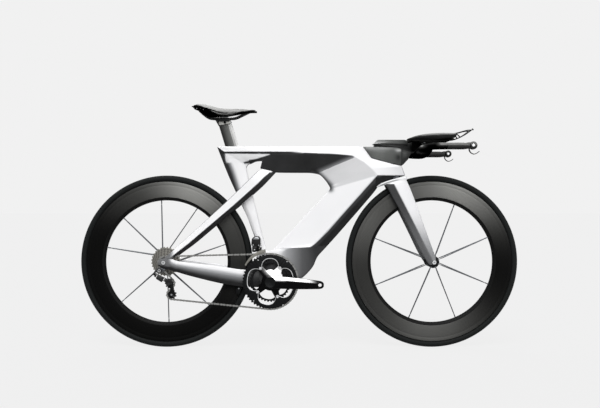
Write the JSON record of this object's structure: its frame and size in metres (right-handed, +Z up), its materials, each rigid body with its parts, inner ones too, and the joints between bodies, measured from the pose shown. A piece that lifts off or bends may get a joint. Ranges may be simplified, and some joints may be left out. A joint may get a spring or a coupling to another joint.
{
  "type": "time trial bicycle",
  "caption": "Aerodynamic time-trial racing bicycle with deep rims, arm-rest handlebar, chain drive and rim brakes inside the fork and under the stays.",
  "frame": {"origin": "on the floor, midway between the two wheels, in the bicycle's middle plane", "axes": "+X forward, +Y to the rider's left, +Z up; the chain is on the -Y side"},
  "size_m": [1.71, 0.464, 0.9495],
  "materials": {
    "silver_paint": "satin silver paint with a fine metallic flake",
    "carbon": "dark satin carbon fibre laminate",
    "grey_carbon": "dark grey satin paint",
    "rubber": "matt black tyre rubber",
    "soft": "matt black grip rubber",
    "foam": "matt black padded cover",
    "steel": "bright steel",
    "alloy": "bright polished alloy",
    "black_alloy": "black anodised alloy",
    "black_plastic": "black moulded plastic"
  },
  "bodies": {
    "frame": {"top_tube": "silver_paint", "head_tube": "silver_paint", "down_tube": "silver_paint", "bottom_bracket_shell": "silver_paint", "seat_tube": "silver_paint", "right_seatstay": "silver_paint", "left_seatstay": "silver_paint", "right_chainstay": "silver_paint", "left_chainstay": "silver_paint", "derailleur_hanger": "black_alloy", "bottom_bracket": "steel", "lower_headset_bearing": "steel", "upper_headset_bearing": "steel", "rear_axle": "alloy", "chain": "steel", "front_derailleur_body": "black_alloy", "derailleur_mount": "black_alloy"},
    "steering": {"fork_crown": "silver_paint", "right_fork_blade": "silver_paint", "left_fork_blade": "silver_paint", "stem": "grey_carbon", "stem_cover": "grey_carbon", "base_bar": "grey_carbon", "right_lever_hood": "soft", "left_lever_hood": "soft", "right_extension": "carbon", "left_extension": "carbon", "right_arm_pad": "foam", "left_arm_pad": "foam", "front_axle": "alloy"},
    "seatpost": {"seatpost": "grey_carbon"},
    "saddle_clamp": {"saddle_clamp": "alloy"},
    "saddle": {"saddle_rails": "steel", "saddle_base": "carbon", "saddle_cover": "foam"},
    "front_wheel": {"front_tyre": "rubber", "front_rim": "carbon", "front_hub": "black_alloy"},
    "rear_wheel": {"rear_tyre": "rubber", "rear_rim": "carbon", "rear_hub": "black_alloy"},
    "cassette": {"cassette": "steel"},
    "crankset": {"right_crank": "black_alloy", "left_crank": "black_alloy", "outer_chainring": "black_alloy", "inner_chainring": "black_alloy"},
    "front_derailleur_cage": {"front_derailleur_cage": "steel"},
    "derailleur_link": {"derailleur_link": "black_alloy"},
    "derailleur_body": {"derailleur_body": "black_alloy"},
    "derailleur_cage": {"derailleur_cage": "black_alloy"},
    "guide_pulley": {"guide_pulley": "black_plastic"},
    "tension_pulley": {"tension_pulley": "black_plastic"},
    "right_brake_lever": {"right_brake_lever": "black_alloy"},
    "left_brake_lever": {"left_brake_lever": "black_alloy"},
    "right_shift_button": {"right_shift_button": "black_alloy"},
    "left_shift_button": {"left_shift_button": "black_alloy"},
    "front_brake_right_arm": {"front_brake_right_arm": "black_alloy"},
    "front_brake_left_arm": {"front_brake_left_arm": "black_alloy"},
    "rear_brake_right_arm": {"rear_brake_right_arm": "black_alloy"},
    "rear_brake_left_arm": {"rear_brake_left_arm": "black_alloy"}
  },
  "joints": [
    {"name": "steering_turn", "type": "hinge", "parent": "frame", "child": "steering", "pos_m": [0.3595, 0, 0.726], "axis": [-0.2756, 0, 0.9613], "range_deg": [-30, 30]},
    {"name": "seatpost_height", "type": "slide", "parent": "frame", "child": "seatpost", "axis": [-0.2907, 0, 0.9568], "range_m": [-0.03, 0.03]},
    {"name": "saddle_tilt", "type": "hinge", "parent": "seatpost", "child": "saddle_clamp", "pos_m": [-0.2913, 0, 0.878], "axis": [0, 1, 0], "range_deg": [-4, 4]},
    {"name": "saddle_setback", "type": "slide", "parent": "saddle_clamp", "child": "saddle", "axis": [1, 0, 0], "range_m": [-0.01, 0.01]},
    {"name": "front_wheel_spin", "type": "hinge", "parent": "steering", "child": "front_wheel", "pos_m": [0.518, 0, 0.336], "axis": [0, 1, 0], "continuous": true},
    {"name": "rear_wheel_spin", "type": "hinge", "parent": "frame", "child": "rear_wheel", "pos_m": [-0.52, 0, 0.336], "axis": [0, 1, 0], "continuous": true},
    {"name": "crank_spin", "type": "hinge", "parent": "frame", "child": "crankset", "pos_m": [-0.112, 0, 0.261], "axis": [0, 1, 0], "continuous": true},
    {"name": "cassette_spin", "type": "hinge", "parent": "frame", "child": "cassette", "pos_m": [-0.52, 0, 0.336], "axis": [0, 1, 0], "continuous": true},
    {"name": "front_derailleur_shift", "type": "slide", "parent": "frame", "child": "front_derailleur_cage", "axis": [0, 1, 0], "range_m": [0, 0.007], "deforming": ["chain"]},
    {"name": "derailleur_shift", "type": "hinge", "parent": "frame", "child": "derailleur_link", "pos_m": [-0.549, -0.078, 0.289], "axis": [0.4271, 0.2421, 0.8712], "range_deg": [0, 38], "deforming": ["chain"]},
    {"name": "derailleur_parallel", "type": "hinge", "parent": "derailleur_link", "child": "derailleur_body", "pos_m": [-0.512, -0.078, 0.2705], "axis": [0.4271, 0.2421, 0.8712], "range_deg": [-38, 0]},
    {"name": "derailleur_tension", "type": "hinge", "parent": "derailleur_body", "child": "derailleur_cage", "pos_m": [-0.499, -0.064, 0.262], "axis": [0, 1, 0], "range_deg": [-25, 30], "stiffness_Nm_per_rad": 0.3},
    {"name": "guide_pulley_spin", "type": "hinge", "parent": "derailleur_cage", "child": "guide_pulley", "pos_m": [-0.498, -0.058, 0.255], "axis": [0, 1, 0], "continuous": true},
    {"name": "tension_pulley_spin", "type": "hinge", "parent": "derailleur_cage", "child": "tension_pulley", "pos_m": [-0.4905, -0.058, 0.2125], "axis": [0, 1, 0], "continuous": true},
    {"name": "right_brake_pull", "type": "hinge", "parent": "steering", "child": "right_brake_lever", "pos_m": [0.628, -0.22, 0.772], "axis": [0, 1, 0], "range_deg": [0, 18], "stiffness_Nm_per_rad": 0.6, "springref_deg": -11.46},
    {"name": "left_brake_pull", "type": "hinge", "parent": "steering", "child": "left_brake_lever", "pos_m": [0.628, 0.22, 0.772], "axis": [0, 1, 0], "range_deg": [0, 18], "stiffness_Nm_per_rad": 0.6, "springref_deg": -11.46},
    {"name": "right_shift_press", "type": "slide", "parent": "steering", "child": "right_shift_button", "axis": [-0.7282, 0, -0.6854], "range_m": [0, 0.0015], "stiffness_N_per_m": 300, "springref_m": -0.0005},
    {"name": "left_shift_press", "type": "slide", "parent": "steering", "child": "left_shift_button", "axis": [-0.7282, 0, -0.6854], "range_m": [0, 0.0015], "stiffness_N_per_m": 300, "springref_m": -0.0005},
    {"name": "front_brake_right_swing", "type": "hinge", "parent": "steering", "child": "front_brake_right_arm", "pos_m": [0.346, -0.02, 0.634], "axis": [1, 0, 0], "range_deg": [0, 1]},
    {"name": "front_brake_left_swing", "type": "hinge", "parent": "steering", "child": "front_brake_left_arm", "pos_m": [0.346, 0.02, 0.634], "axis": [1, 0, 0], "range_deg": [-1, 0]},
    {"name": "rear_brake_right_swing", "type": "hinge", "parent": "frame", "child": "rear_brake_right_arm", "pos_m": [-0.236, -0.022, 0.234], "axis": [1, 0, 0], "range_deg": [-2, 0], "stiffness_Nm_per_rad": 0.4, "springref_deg": 2.86},
    {"name": "rear_brake_left_swing", "type": "hinge", "parent": "frame", "child": "rear_brake_left_arm", "pos_m": [-0.236, 0.022, 0.234], "axis": [1, 0, 0], "range_deg": [0, 2], "stiffness_Nm_per_rad": 0.4, "springref_deg": -2.86}
  ],
  "couplings": [
    {"joint": "cassette_spin", "follows": "crank_spin", "ratio": 4.8182},
    {"joint": "guide_pulley_spin", "follows": "crank_spin", "ratio": -5.8889},
    {"joint": "tension_pulley_spin", "follows": "crank_spin", "ratio": 5.8889},
    {"joint": "derailleur_parallel", "follows": "derailleur_shift", "ratio": -1}
  ]
}
